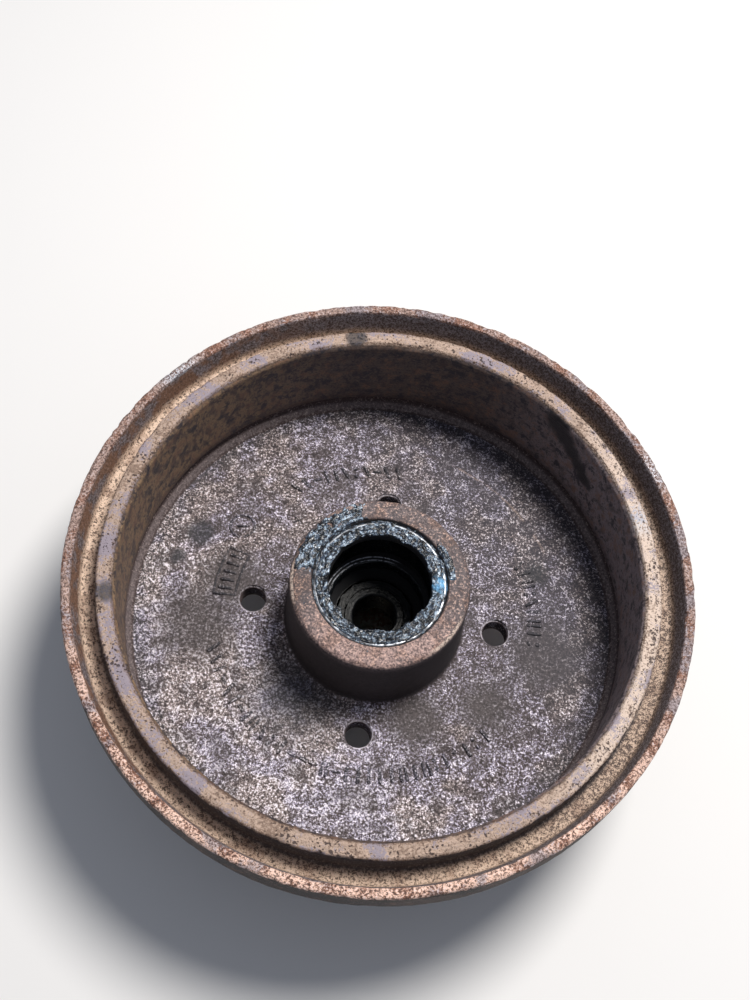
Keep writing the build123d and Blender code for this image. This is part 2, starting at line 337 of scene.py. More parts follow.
def setStage():
    floorHeight = cadBounds[0][2] / mm - stage["floorGap"]
    reach = stage["floorReach"]
    corners = [Vector((x * reach, y * reach, floorHeight)) for x, y in ((-1, -1), (1, -1), (1, 1), (-1, 1))]
    floor = newObject("studio_floor", corners, [(0, 1, 2, 3)])
    paper = Finish("pale_floor")
    pale = stage["floorColour"]
    shade = paper.mix(paper.noise(0.02, 2.0), pale, shaded(pale, 0.99))
    floor.data.materials.append(paper.surface(Base_Color=shade, Roughness=0.9))

    world = bpy.data.worlds.new("soft_sky")
    world.use_nodes = True
    sky = world.node_tree.nodes["Background"]
    sky.inputs["Color"].default_value = (*stage["skyColour"], 1.0)
    sky.inputs["Strength"].default_value = stage["skyStrength"]
    bpy.context.scene.world = world

    lamp = bpy.data.lights.new("studio_lamp", "AREA")
    lamp.shape = "DISK"
    lamp.size = stage["lampSize"]
    lamp.energy = stage["lampPower"]
    lamp.color = stage["lampColour"]
    lampObject = bpy.data.objects.new("studio_lamp", lamp)
    direction = towards(stage["lampAzimuth"], stage["lampElevation"])
    lampObject.location = direction * stage["lampDistance"]
    lampObject.rotation_euler = direction.to_track_quat("Z", "Y").to_euler()
    bpy.context.scene.collection.objects.link(lampObject)

    eye = bpy.data.cameras.new("studio_camera")
    eye.lens = camera["lens"]
    eye.clip_start = 0.01
    eyeObject = bpy.data.objects.new("studio_camera", eye)
    back = towards(camera["heading"], camera["elevation"])
    stand = (Vector(camera["aim"]) + back * camera["distance"]) * mm
    facing = back.to_track_quat("Z", "Y").to_matrix().to_4x4()
    tilt = Matrix.Rotation(math.radians(camera["roll"]), 4, "Z")
    eyeObject.matrix_world = Matrix.Translation(stand) @ facing @ tilt
    bpy.context.scene.collection.objects.link(eyeObject)
    bpy.context.scene.camera = eyeObject
    bpy.context.scene.view_settings.view_transform = "Standard"
    print("stage, lamp and camera set")


# ---- the casting
castingLow, castingHigh = boxOf("drum_hub_casting")
caseLow, caseHigh = boxOf("shaft_seal_case")
inCupLow, inCupHigh = boxOf("inboard_bearing_cup")
outCupHigh = boxOf("outboard_bearing_cup")[1]
drum = {
    "segments": 512,
    "rimRadius": castingHigh[0],
    "rimTop": castingHigh[2],
    "rimInner": 116.3,
    "rimFoot": 38.0,
    "grooveOuter": 113.7,
    "grooveFloor": 43.4,
    "lipOuter": 107.1,
    "lipTop": 55.9,
    "lipLand": 101.7,
    "track": 100.0,
    "trackTop": 53.5,
    "trackFoot": 14.3,
    "relief": 101.2,
    "reliefFloor": 9.9,
    "webRim": (97.8, 6.0),
    "webStep": (63.2, 8.6),
    "webInner": (62.0, 9.0),
    "bossFoot": 36.0,
    "bossRadius": 35.0,
    "bossTop": 46.8,
    "bossCorner": 2.8,
    "sealBore": caseHigh[0],
    "sealBoreFoot": 38.0,
    "cupSeat": inCupHigh[0],
    "cupShoulder": 21.4,
    "shoulderFoot": 21.0,
    "cavity": 19.6,
    "cavityTop": 20.4,
    "cavityFoot": 13.0,
    "shoulder": 16.4,
    "shoulderTop": 10.0,
    "outerCupSeat": outCupHigh[0],
    "outerSeatFoot": -5.5,
    "capBore": 20.75,
    "register": 28.5,
    "noseEnd": castingLow[2],
    "barrelTop": 108.5,
    "barrelFoot": 107.5,
}
boltHoles = {
    "circle": 50.0,
    "count": 4,
    "minor": 5.2,
    "major": 5.95,
    "pitch": 1.5,
    "chamfer": 0.6,
    "cutFrom": -1.0,                # the cutter reaches past both faces of the web
    "cutPast": 1.2,
    "segments": 40,
    "spacing": 0.25,
}


def castingRows():
    # the half-section, from the nose outwards, over the rim and down the bore
    d = drum
    return [
        (d["capBore"], d["noseEnd"], 0, 2.0),
        (d["register"], d["noseEnd"], 1.0, 1.6),
        (d["register"], 0.0, 0.6, 1.9),
        (d["barrelFoot"], 0.0, 6.0, 1.8),
        (d["barrelTop"], d["rimFoot"], 5.0, 1.5),
        (d["rimRadius"], d["rimFoot"], 3.0, 1.1),
        (d["rimRadius"], d["rimTop"], 1.2, 0.8),
        (d["rimInner"], d["rimTop"], 0.5, 1.2),
        (d["grooveOuter"], d["grooveFloor"], 1.5, 1.1),
        (d["lipOuter"], d["grooveFloor"], 1.5, 1.2),
        (d["lipOuter"], d["lipTop"], 1.2, 0.8),
        (d["lipLand"], d["lipTop"], 0.4, 0.8),
        (d["track"], d["trackTop"], 0, 1.3),
        (d["track"], d["trackFoot"], 0, 0.9),
        (d["relief"], d["trackFoot"] - 1.2, 0.5, 0.9),
        (d["relief"], d["reliefFloor"], 0.5, 0.9),
        (*d["webRim"], 2.0, 1.05),
        (*d["webStep"], 0.5, 0.7),
        (*d["webInner"], 0.5, 1.05),
        (d["bossFoot"], d["webInner"][1], 3.0, 1.3),
        (d["bossRadius"], d["bossTop"], d["bossCorner"], 0.7),
        (d["sealBore"] + 1.0, d["bossTop"], 0.3, 0.7),
        (d["sealBore"], d["bossTop"] - 1.0, 0.3, 2.0),
        (d["sealBore"], d["sealBoreFoot"], 0, 2.0),
        (d["cupSeat"], d["sealBoreFoot"], 0, 4.0),
        (d["cupSeat"], inCupLow[2], 0, 2.0),
        (d["cupShoulder"], inCupLow[2], 0, 2.0),
        (d["cupShoulder"], d["shoulderFoot"], 0, 1.0),
        (d["cavity"], d["cavityTop"], 0.3, 1.5),
        (d["cavity"], d["cavityFoot"], 0.3, 1.5),
        (d["shoulder"], d["shoulderTop"], 0.3, 1.5),
        (d["shoulder"], outCupHigh[2], 0, 2.0),
        (d["outerCupSeat"], outCupHigh[2], 0, 4.0),
        (d["outerCupSeat"], d["outerSeatFoot"], 0, 2.0),
        (d["capBore"], d["outerSeatFoot"], 0, 3.0),
    ]


def pits(point, perMm, size, share):
    # round pits, in some of the cells only
    near, spots = noise.voronoi(point * perMm)
    if noise.cell(spots[0] * 7.3) > share:
        return 0.0
    return 1 - smooth(near[0] / perMm, size * 0.35, size)


def chips(point, offEdge, reach):
    # flakes lost along an edge that is offEdge millimetres away
    if offEdge > reach:
        return 0.0
    loss = smooth(noise.fractal(point * 0.16, 0.8, 2.2, 3), 0.12, 0.55)
    return loss * (1 - smooth(offEdge, 0.2, reach))


def nearest(value, *edges):
    return min(abs(value - drum[edge]) for edge in edges)


def castRelief(point, radius, height):
    # machined bores, the cup seats and the mounting face keep their size
    if radius < drum["sealBore"] + 1.5 and height < drum["bossTop"] - 0.4:
        return 0.0
    if height < 0.5 and radius < drum["barrelFoot"] - 8:
        return 0.02 * noise.noise(point * 0.5)
    grain = noise.fractal(point * 0.42, 0.75, 2.1, 4)
    swell = noise.noise(point * 0.05)
    onWeb = band(radius, 38.0, 98.0, 1.5) * (1 - smooth(height, 10.0, 12.0))
    onTrack = band(radius, 99.0, 101.0, 0.3) * band(height, 13.0, 54.0, 0.6)
    onTop = smooth(height, 54.0, 55.2)
    onLip = onTop * (1 - smooth(radius, 108.0, 110.0)) * smooth(radius, 90.0, 98.0)
    onRim = onTop * smooth(radius, 113.0, 114.5)
    inGroove = band(height, 43.0, 55.0, 0.4) * band(radius, 105.0, 117.0, 1.0)
    onBoss = 1 - smooth(radius, 36.0, 38.0)
    lift = 0.0
    if onWeb > 0:
        coarse = noise.fractal(point * 0.16 + Vector((9, 4, 0)), 0.7, 2.0, 3)
        lift += onWeb * (0.17 * grain + 0.20 * coarse + 0.25 * swell)
    if onTrack > 0:
        scoring = noise.noise(Vector((1.0, 7.0, height * 1.3)))
        scoring += 0.5 * noise.noise(Vector((3.0, 2.0, height * 3.1)))
        lift += onTrack * (0.06 * scoring + 0.03 * grain)
    if onLip > 0:
        offEdge = nearest(radius, "lipOuter", "lipLand")
        loss = 0.35 * pits(point, 0.30, 1.5, 0.35) + 0.45 * chips(point, offEdge, 1.8)
        lift += onLip * (0.05 * grain - loss)
    if onRim > 0:
        offEdge = nearest(radius, "rimRadius", "rimInner")
        loss = 0.35 * pits(point, 0.34, 1.4, 0.6) + 0.45 * chips(point, offEdge, 1.7)
        lift += onRim * (0.09 * grain - loss)
    if inGroove > 0:
        lift += inGroove * (0.13 * grain + 0.10 * swell)
    if onBoss > 0:
        onFace = smooth(height, drum["bossTop"] - 1.2, drum["bossTop"] - 0.6)
        lift += onBoss * (0.09 * grain - 0.22 * onFace * pits(point, 0.42, 1.2, 0.45))
    outside = 1 - max(onWeb, onTrack, onLip, onRim, inGroove, onBoss)
    if outside > 0:
        lift += outside * (0.12 * grain + 0.18 * swell)
    return lift


def threadCutter(azimuth):
    # a rod with the thread's own ridges, opening out at the chamfer
    h = boltHoles
    face = drum["webInner"][1]
    top, bottom = face + h["cutPast"], h["cutFrom"]
    steps = round((top - bottom) / h["spacing"])
    centre = onCircle(h["circle"], azimuth)
    rings = [[centre + Vector((0, 0, bottom))]]
    for i in range(steps + 1):
        height = bottom + (top - bottom) * i / steps
        flare = max(0.0, height - (face - h["chamfer"] - 0.15))
        ring = []
        for j in range(h["segments"]):
            phase = (height / h["pitch"] - j / h["segments"]) % 1.0
            ridge = smooth(1 - abs(2 * phase - 1), 0.15, 0.85)
            size = max(h["minor"] + (h["major"] - h["minor"]) * ridge, h["minor"] + flare)
            ring.append(centre + onCircle(size, 360 * j / h["segments"], height))
        rings.append(ring)
    rings.append([centre + Vector((0, 0, top))])
    return skin("thread_cutter", rings, closed=False)


def baked(piece):
    # what the piece's modifiers make becomes its own mesh
    graph = bpy.context.evaluated_depsgraph_get()
    mesh = bpy.data.meshes.new_from_object(piece.evaluated_get(graph))
    piece.modifiers.clear()
    piece.data = mesh


def makeCasting(finish):
    piece = lathe("drum_casting_worn", castingRows(), drum["segments"], castRelief)
    for i in range(boltHoles["count"]):
        cutter = threadCutter(360 / boltHoles["count"] * i)
        cut = piece.modifiers.new("bolt_hole", "BOOLEAN")
        cut.operation = "DIFFERENCE"
        cut.solver = "MANIFOLD"
        cut.object = cutter
        baked(piece)
        bpy.data.objects.remove(cutter)
    shadeSmooth(piece.data)
    place(piece, finish, "rusted_cast_iron", "drum_hub_casting")
    print("casting:", len(piece.data.polygons), "faces")


# ---- raised marks left by the mould, all plain bars, dots and rings
marks = {
    "ringRadius": 66.0,
    "ringArcs": ((88, 130), (-2, 31), (-160, -37)),
    "spacing": 4.0,                 # degrees from one mark to the next
    "height": 1.05,
    "barLength": 6.0,
    "barWidth": 1.25,
    "clock": (67.5, 152.0),         # radius and azimuth of the dated ring
    "clockRadius": 5.0,
    "pad": (62.0, 170.5),           # middle of the framed pad
    "padSize": (20.0, 9.0),
    "cross": (53.0, 134.5),
}


def webHeight(radius):
    rimRadius, rimHeight = drum["webRim"]
    stepRadius, stepHeight = drum["webStep"]
    if radius <= drum["webInner"][0]:
        return drum["webInner"][1]
    share = max(0.0, radius - stepRadius) / (rimRadius - stepRadius)
    return stepHeight + (rimHeight - stepHeight) * share


def addMound(making, radius, azimuth, length, width, turn, height):
    # a bar with round ends and sloping sides, standing on the web
    vertices, faces = making
    centre = onCircle(radius, azimuth, webHeight(radius))
    facing = math.radians(azimuth + turn)
    along = Vector((math.cos(facing), math.sin(facing), 0))
    across = Vector((-along.y, along.x, 0))
    levels = ((-0.45, 0.30), (0.25, 0.10), (0.72, -0.04), (1.0, -0.22))
    capSteps = 7
    rings = []
    for level, spread in levels:
        half = width / 2 + spread
        reach = (length - width) / 2
        ring = []
        for end in (1, -1):
            for k in range(capSteps):
                swing = math.pi * (k / (capSteps - 1) - 0.5)
                offset = along * (reach + half * math.cos(swing)) + across * half * math.sin(swing)
                point = centre + offset * end + Vector((0, 0, height * level))
                wear = noise.noise_vector(point * 0.9)
                ring.append(point + wear * 0.13)
        rings.append(ring)
    count = 2 * capSteps
    base = len(vertices)
    for ring in rings:
        vertices.extend(ring)
    for i in range(len(rings) - 1):
        for j in range(count):
            n = (j + 1) % count
            low, high = base + i * count, base + (i + 1) * count
            faces.append((low + j, low + n, high + n, high + j))
    faces.append([base + (len(rings) - 1) * count + j for j in range(count)])
    faces.append([base + j for j in reversed(range(count))])


def addLoop(making, radius, azimuth, size, width, height):
    steps = 12
    for k in range(steps):
        turn = 360 * k / steps
        middle = onCircle(radius, azimuth) + onCircle(size, turn)
        chord = 2 * size * math.sin(math.pi / steps) + width
        away = math.degrees(math.atan2(middle.y, middle.x))
        addMound(making, middle.to_2d().length, away, chord, width, turn + 90 - away, height)


def makeMarks(finish):
    making = [], []                 # vertices and faces
    m = marks
    for start, end in m["ringArcs"]:
        azimuth = start
        while azimuth < end:
            kind = random.choice(("bar", "bar", "pair", "slant", "dash", "dots"))
            worn = m["height"] * random.uniform(0.55, 1.0)
            at = m["ringRadius"] + random.uniform(-0.2, 0.2)
            if kind == "bar":
                addMound(making, at, azimuth, m["barLength"], m["barWidth"], 0, worn)
            elif kind == "pair":
                for side in (-0.9, 0.9):
                    addMound(making, at, azimuth + side, m["barLength"], m["barWidth"] * 0.8, 0, worn)
            elif kind == "slant":
                addMound(making, at, azimuth, m["barLength"], m["barWidth"], 24, worn)
            elif kind == "dash":
                addMound(making, at, azimuth, m["barLength"] * 0.6, m["barWidth"], 90, worn)
            elif kind == "dots":
                for side in (-1.8, 1.8):
                    addMound(making, at + side, azimuth, 1.7, 1.5, 0, worn)
            azimuth += m["spacing"] * random.uniform(0.85, 1.15)
    addLoop(making, *m["clock"], m["clockRadius"], 0.8, m["height"] * 0.7)
    addMound(making, *m["clock"], 4.4, 0.8, 35, m["height"] * 0.8)
    for turn in (0, 90):
        addMound(making, *m["cross"], 4.2, 0.8, turn, m["height"] * 0.6)
    padRadius, padAzimuth = m["pad"]
    long, wide = m["padSize"]
    swing = math.degrees(long / 2 / padRadius)
    for side in (-1, 1):
        for k in (-1, 0, 1):
            spot = padAzimuth + k * swing * 0.66
            addMound(making, padRadius + side * wide / 2, spot, long * 0.36, 0.7, 90, m["height"] * 0.5)
        addMound(making, padRadius, padAzimuth + side * swing, wide, 0.7, 0, m["height"] * 0.5)
    for k in range(5):
        spot = padAzimuth + (k - 2) * swing * 0.36
        addMound(making, padRadius, spot, wide * 0.6, 1.0, 0, m["height"] * 0.7)
    piece = newObject("casting_marks", *making, 60)
    place(piece, finish, "rusted_cast_iron")
    print("mould marks:", len(piece.data.polygons), "faces")


# ---- the shaft seal and its grease
seal = {
    "segments": 256,
    "caseRadius": caseHigh[0],
    "caseTop": caseHigh[2],
    "caseFoot": caseLow[2],
    "caseWall": 1.2,
    "caseHole": 22.0,
    "lipRadius": 20.2,
    "lipEdge": 19.95,
    "springRadius": 22.05,
    "springHeight": 41.3,
    "coilRadius": 0.42,
    "wireRadius": 0.13,
    "coilTurns": 330,
    "coilSteps": 9,                 # rings in one turn of the coil
    "wireSides": 5,
}
mouthGrease = {
    "segments": 620,
    "outer": 34.3,
    "inner": 21.4,                  # where its hidden underside starts
    "underSteps": 6,
    "topSteps": 46,
    "beadSteps": 8,
    "bead": 0.75,                   # how far the bead hangs in from the lip
    # azimuth, reach inwards and half width of each lump on the inner edge
    "lumps": (
        (-33, 1.7, 9), (-52, 1.2, 7), (-86, 1.1, 12), (-138, 1.5, 6),
        (-118, 0.6, 8), (26, 0.9, 4), (70, 0.9, 4),
    ),
    "smearArc": (103, 182),         # where the grease is spread over the boss's face
    "stripArc": (6, 46),            # a thinner strip on the other side
}


def caseWaves(point, radius, height):
    return 0.03 * noise.noise(point * 0.4)


def makeSealCase(finish):
    s = seal
    wall = s["caseWall"]
    rows = [
        (s["caseRadius"] - wall, s["caseFoot"], 0.3, 2.0),
        (s["caseRadius"] - 0.02, s["caseFoot"], 0.3, 2.0),
        (s["caseRadius"] - 0.02, s["caseTop"], 0.8, 0.6),
        (s["caseRadius"] - 1.6, s["caseTop"], 0.2, 0.3),
        (s["caseRadius"] - 1.9, s["caseTop"] - 0.22, 0.2, 0.3),
        (s["caseRadius"] - 2.3, s["caseTop"] - 0.02, 0.2, 0.6),
        (s["caseHole"], s["caseTop"], 0.2, 0.6),
        (s["caseHole"], s["caseTop"] - wall, 0.2, 0.6),
        (s["caseRadius"] - wall, s["caseTop"] - wall, 0.4, 2.0),
    ]
    piece = lathe("seal_case_pressed", rows, s["segments"], caseWaves, 0.2)
    place(piece, finish, "pressed_steel", "shaft_seal_case")


def lipWear(point, radius, height):
    nick = smooth(noise.noise(point * 0.35 + Vector((4, 0, 0))), 0.35, 0.6)
    return -0.22 * nick * (1 - smooth(radius, 20.2, 21.4)) + 0.03 * noise.noise(point * 1.1)


def makeSealLip(finish):
    s = seal
    top, ring = s["caseTop"], s["springHeight"]
    rows = [
        (s["caseHole"], top - s["caseWall"], 0, 0.5),
        (s["springRadius"] - 0.72, ring + 1.0, 0.2, 0.5),
        (s["springRadius"] - 0.72, ring - 0.7, 0.2, 0.5),
        (s["springRadius"], ring - 0.9, 0.1, 0.5),
        (s["springRadius"], ring - 1.4, 0.15, 0.5),
        (s["lipRadius"] + 0.3, ring - 1.3, 0.3, 0.4),
        (s["lipEdge"], ring, 0.12, 0.4),
        (s["lipRadius"], top - 1.4, 0.4, 0.4),
        (s["lipRadius"] + 0.7, top - 0.2, 0.3, 0.4),
        (s["caseHole"], top, 0, 0.5),
    ]
    rows.reverse()
    piece = lathe("seal_lip_worn", rows, s["segments"], lipWear, 0.15)
    place(piece, finish, "seal_rubber", "shaft_seal_lip")


def makeGarterSpring(finish):
    s = seal
    count = s["coilTurns"] * s["coilSteps"]
    rings = []
    for i in range(count):
        around = 2 * math.pi * i / count
        winding = 2 * math.pi * i / s["coilSteps"]
        outward = Vector((math.cos(around), math.sin(around), 0))
        up = Vector((0, 0, 1))
        arm = outward * math.cos(winding) + up * math.sin(winding)
        middle = outward * s["springRadius"] + up * s["springHeight"] + arm * s["coilRadius"]
        side = Vector((-outward.y, outward.x, 0))
        ring = []
        for k in range(s["wireSides"]):
            swing = 2 * math.pi * k / s["wireSides"]
            ring.append(middle + (arm * math.cos(swing) + side * math.sin(swing)) * s["wireRadius"])
        rings.append(ring)
    piece = skin("garter_coil", rings, sharpAngle=180)
    place(piece, finish, "bearing_steel", "seal_garter_spring")
    print("seal and its spring made")


def greaseDepth(point, radius, azimuth):
    # ridges drawn out round the axis, on lumps
    g = mouthGrease
    ridge = 1 - abs(noise.noise(Vector((point.x * 0.26, point.y * 0.26, radius * 0.95)))) * 2.6
    cross = 1 - abs(noise.noise(point * 0.55 + Vector((5, 5, 5)))) * 2.8
    lump = noise.fractal(point * 0.22, 0.8, 2.1, 3)
    texture = 0.52 * max(ridge, 0.0) ** 2 + 0.42 * max(cross, 0.0) ** 2
    if radius < 26.2:
        wiped = smooth(noise.noise(point * 0.14 + Vector((2, 0, 0))), -0.45, 0.1)
        bare = band(radius, 24.9, 25.9, 0.25) * wiped
        return (0.16 + texture + 0.34 * max(lump, -0.3)) * (1 - bare) - 0.2 * bare
    start, end = g["smearArc"]
    smear = band(azimuth % 360, start + 6, end - 4, 9) * (1 - smooth(radius, 32.6 + 3.2 * lump, 34.9))
    start, end = g["stripArc"]
    strip = band((azimuth + 180) % 360 - 180, start + 4, end - 4, 6) * band(radius, 26.4, 29.4, 0.6)
    spread = max(smear, strip)
    torn = noise.fractal(point * 0.35 + Vector((0, 8, 0)), 0.8, 2.2, 4)
    cover = smooth(spread + 0.5 * torn, 0.30, 0.62)
    return cover * (0.12 + texture * 0.9 + 0.15 * max(lump, 0.0)) - (1 - cover) * 0.3


def greaseBase(radius):
    # the surface that the grease lies on
    onFace = smooth(radius, seal["caseRadius"] - 0.1, seal["caseRadius"] + 0.9)
    corner = drum["bossCorner"]
    past = max(0.0, radius - (drum["bossRadius"] - corner))
    fall = corner - math.sqrt(corner ** 2 - past ** 2)
    return seal["caseTop"] + (drum["bossTop"] - seal["caseTop"]) * onFace - fall


def makeMouthGrease(finish):
    g = mouthGrease
    columns = []
    for j in range(g["segments"]):
        azimuth = 360 * j / g["segments"]
        broad = noise.noise(onCircle(6.0, azimuth))
        narrow = noise.noise(onCircle(19.0, azimuth))
        reach = g["bead"] * (0.35 + 0.65 * broad + 0.4 * narrow)
        for centre, inward, half in g["lumps"]:
            reach += inward * math.exp(-(turnBetween(azimuth, centre) / half) ** 2)
        inner = seal["lipRadius"] + 0.35 - reach
        column = []
        for k in range(g["underSteps"] + 1):   # the hidden underside, outwards
            radius = g["inner"] + (g["outer"] - g["inner"]) * k / g["underSteps"]
            column.append((radius, greaseBase(radius) - 0.4))
        for k in range(g["topSteps"] + 1):     # the top, inwards
            radius = g["outer"] + (inner + 0.35 - g["outer"]) * k / g["topSteps"]
            depth = greaseDepth(onCircle(radius, azimuth), radius, azimuth)
            column.append((radius, greaseBase(radius) + max(depth, -0.36)))
        topHeight = column[-1][1]
        fat = 0.55 + 0.3 * max(0.0, reach)
        for k in range(1, g["beadSteps"]):     # the bead, down and back under the lip
            swing = math.pi * k / g["beadSteps"]
            wave = 0.10 * noise.noise(onCircle(inner, azimuth, k * 0.8) * 1.3)
            radius = inner + 0.35 - (0.42 + wave) * math.sin(swing)
            column.append((radius, topHeight - fat * (1 - math.cos(swing)) + wave))
        column.append((seal["lipRadius"] + 0.9, topHeight - 2 * fat))
        columns.append([onCircle(radius, azimuth, height) for radius, height in column])
    rings = [[column[i] for column in columns] for i in range(len(columns[0]))]
    piece = skin("mouth_grease_smeared", rings, sharpAngle=180)
    place(piece, finish, "bearing_grease", "mouth_grease")
    print("mouth grease:", len(piece.data.polygons), "faces")


cavityGrease = {
    "segments": 260,
    "levels": 22,
    "intoWall": 0.15,
    "thinnest": 0.18,
    "thickest": 1.3,
}


def makeCavityGrease(finish):
    # streaks left on the wall between the bearings
    g = cavityGrease
    low, high = boxOf("cavity_grease")
    wall = high[0] + g["intoWall"]
    segments, levels = g["segments"], g["levels"]
    rings = []
    for i in range(levels + 1):
        height = low[2] + (high[2] - low[2]) * i / levels
        ends = smooth(i, 0, 2) * (1 - smooth(i, levels - 2, levels))
        ring = []
        for j in range(segments):
            azimuth = 360 * j / segments
            point = onCircle(wall, azimuth, height)
            ridge = 1 - abs(noise.noise(Vector((point.x * 0.2, point.y * 0.2, height * 0.9)))) * 2
            lump = noise.fractal(point * 0.18, 0.8, 2.1, 3)
            depth = 0.2 + 0.75 * ends * (0.35 + 0.4 * max(ridge, 0) ** 2 + 0.5 * lump)
            depth = min(max(depth, g["thinnest"]), g["thickest"])
            ring.append(onCircle(wall - depth, azimuth, height))
        rings.append(ring)
    for height in (high[2], low[2]):
        rings.append([onCircle(wall, 360 * j / segments, height) for j in range(segments)])
    piece = skin("cavity_grease_streaked", rings, sharpAngle=180)
    piece.data.flip_normals()
    place(piece, finish, "bearing_grease", "cavity_grease")
    print("cavity grease made")


# ---- the dust cap
capLow, capHigh = boxOf("dust_cap")
cap = {
    "segments": 192,
    "wall": 1.0,
    "flange": capHigh[0],
    "body": 21.5,
    "skirt": 20.75,
    "skirtTop": capHigh[2],
    "end": capLow[2],
    "corner": 4.5,
    "bossRadius": 7.5,
    "bossDepth": 0.7,
}


def capDents(point, radius, height):
    if height > drum["noseEnd"] - 0.2:
        return 0.0                             # the skirt and the seat stay true
    onFlange = smooth(radius, cap["body"] + 0.4, cap["flange"] - 0.4)
    azimuth = math.degrees(math.atan2(point.y, point.x))
    hammered = max(0.0, noise.noise(onCircle(7.0, azimuth))) ** 2
    return 0.04 * noise.noise(point * 0.2) - 0.35 * onFlange * hammered


def makeDustCap(finish):
    c = cap
    seat = drum["noseEnd"]
    inner = c["body"] - c["wall"]
    rows = [
        (0, c["end"] + c["bossDepth"], 0, 1.5),
        (c["bossRadius"], c["end"] + c["bossDepth"], 0.8, 0.8),
        (c["bossRadius"] + 1.2, c["end"], 0.8, 1.3),
        (c["body"], c["end"], c["corner"], 1.3),
        (c["body"], seat - c["wall"], 0.3, 0.5),
        (c["flange"], seat - c["wall"], 0.4, 0.5),
        (c["flange"], seat, 0.4, 0.6),
        (c["skirt"], seat, 0, 1.5),
        (c["skirt"], c["skirtTop"], 0.3, 0.5),
        (c["skirt"] - c["wall"], c["skirtTop"], 0.3, 1.5),
        (c["skirt"] - c["wall"], seat - c["wall"], 0, 0.8),
        (inner, seat - 2 * c["wall"], 0.3, 1.5),
        (inner, c["end"] + c["wall"], c["corner"] - c["wall"], 1.3),
        (c["bossRadius"] + 1.0, c["end"] + c["wall"], 0.8, 0.8),
        (c["bossRadius"] - 0.4, c["end"] + c["wall"] + c["bossDepth"], 0.8, 1.5),
        (0, c["end"] + c["wall"] + c["bossDepth"], 0, 1.0),
    ]
    piece = lathe("dust_cap_drawn", rows, c["segments"], capDents)
    place(piece, finish, "cap_steel", "dust_cap")
    print("dust cap made")


# ---- finishes
ironColours = {
    "webDark": (0.038, 0.028, 0.030),
    "webBrown": (0.165, 0.132, 0.132),
    # lilac: painted sky reflection
    "webLilac": (0.420, 0.390, 0.560),
    "webTan": (0.450, 0.360, 0.335),
    # white flecks: painted glints on the web and rim, also the lighter edges of the bolt holes
    "webFleck": (0.98, 0.92, 1.0),
    "webSmooth": (0.064, 0.052, 0.053),
    # painted shade for the far side of the web
    "paintedFarShade": (0.042, 0.040, 0.056),
    # dark dirt, also used as painted shade
    "smudgeAndShade": (0.030, 0.031, 0.038),
    "track": (0.150, 0.108, 0.090),
    "trackGrey": (0.300, 0.245, 0.255),
    "trackTan": (0.300, 0.198, 0.115),
    "trackBlue": (0.020, 0.022, 0.034),
    "lipCream": (0.560, 0.410, 0.325),
    # lilac: painted sky reflection
    "lipLilac": (0.300, 0.265, 0.330),
    "lipPale": (0.780, 0.630, 0.530),
    "lipBrown": (0.190, 0.120, 0.085),
    # dark pits, also used as painted shade
    "pitAndShade": (0.055, 0.035, 0.034),
    "groove": (0.290, 0.205, 0.150),
    "grooveTan": (0.74, 0.55, 0.42),
    # painted light for the groove's left side
    "groovePale": (0.950, 0.720, 0.560),
    "flangeWall": (0.125, 0.089, 0.076),
    "rimPink": (0.950, 0.635, 0.505),
    "rimFar": (0.420, 0.285, 0.240),
    "rimOrange": (0.330, 0.155, 0.098),
    # grey, tinted lilac as a painted sky reflection
    "rimGrey": (0.270, 0.240, 0.270),
    "silver": (0.62, 0.64, 0.70),
    "outside": (0.020, 0.016, 0.016),
    "outsideBrown": (0.062, 0.042, 0.034),
    "outsideRust": (0.230, 0.120, 0.075),
    "bossFace": (0.430, 0.300, 0.275),
    "bossFar": (0.185, 0.150, 0.152),
    "bossLeft": (0.085, 0.072, 0.078),
    "bossWall": (0.150, 0.120, 0.118),
    "bossShade": (0.052, 0.044, 0.047),
    "machined": (0.185, 0.150, 0.140),
    "greasy": (0.006, 0.006, 0.008),
}
# stains, rubbed spots, a painted shadow and painted highlights of the iron: radius, azimuth, height, reach
# and softness of each
markedSpots = {
    "smooth": (
        (71, -170, 8, 17, 9), (60, 174, 8, 14, 8), (72, -5, 8, 16, 8),
        (58, -33, 9, 12, 8), (44, 75, 9, 9, 5), (46, -62, 9, 12, 6),
    ),
    # painted shadow of the boss, at its lower left
    "paintedBossShadow": ((46, -125, 9, 17, 13),),
    "smudges": ((81, 161, 8, 5.5, 2), (85, 170, 8, 3.5, 1.5), (71, 24, 8, 5, 3)),
    "trackSmear": (
        (100, 51, 50, 6, 2.5), (100, 48, 46, 5.5, 2), (100, 45, 42, 5, 2),
        (100, 42, 38, 4.5, 2), (100, 39, 34.5, 4, 2),
    ),
    "lipDirt": ((104, 103, 56, 4.2, 1.2), (103, -167, 56, 4, 2)),
    "lipBare": ((104, 21, 56, 6, 4),),
    "rimBare": ((118, 141, 56, 9, 4), (120, 31, 56, 8, 5)),
    # painted highlights on the boss's rounded corner
    "bossCornerHighlights": ((34.5, -33, 46, 9, 4), (34.5, -172, 46, 8, 4)),
}


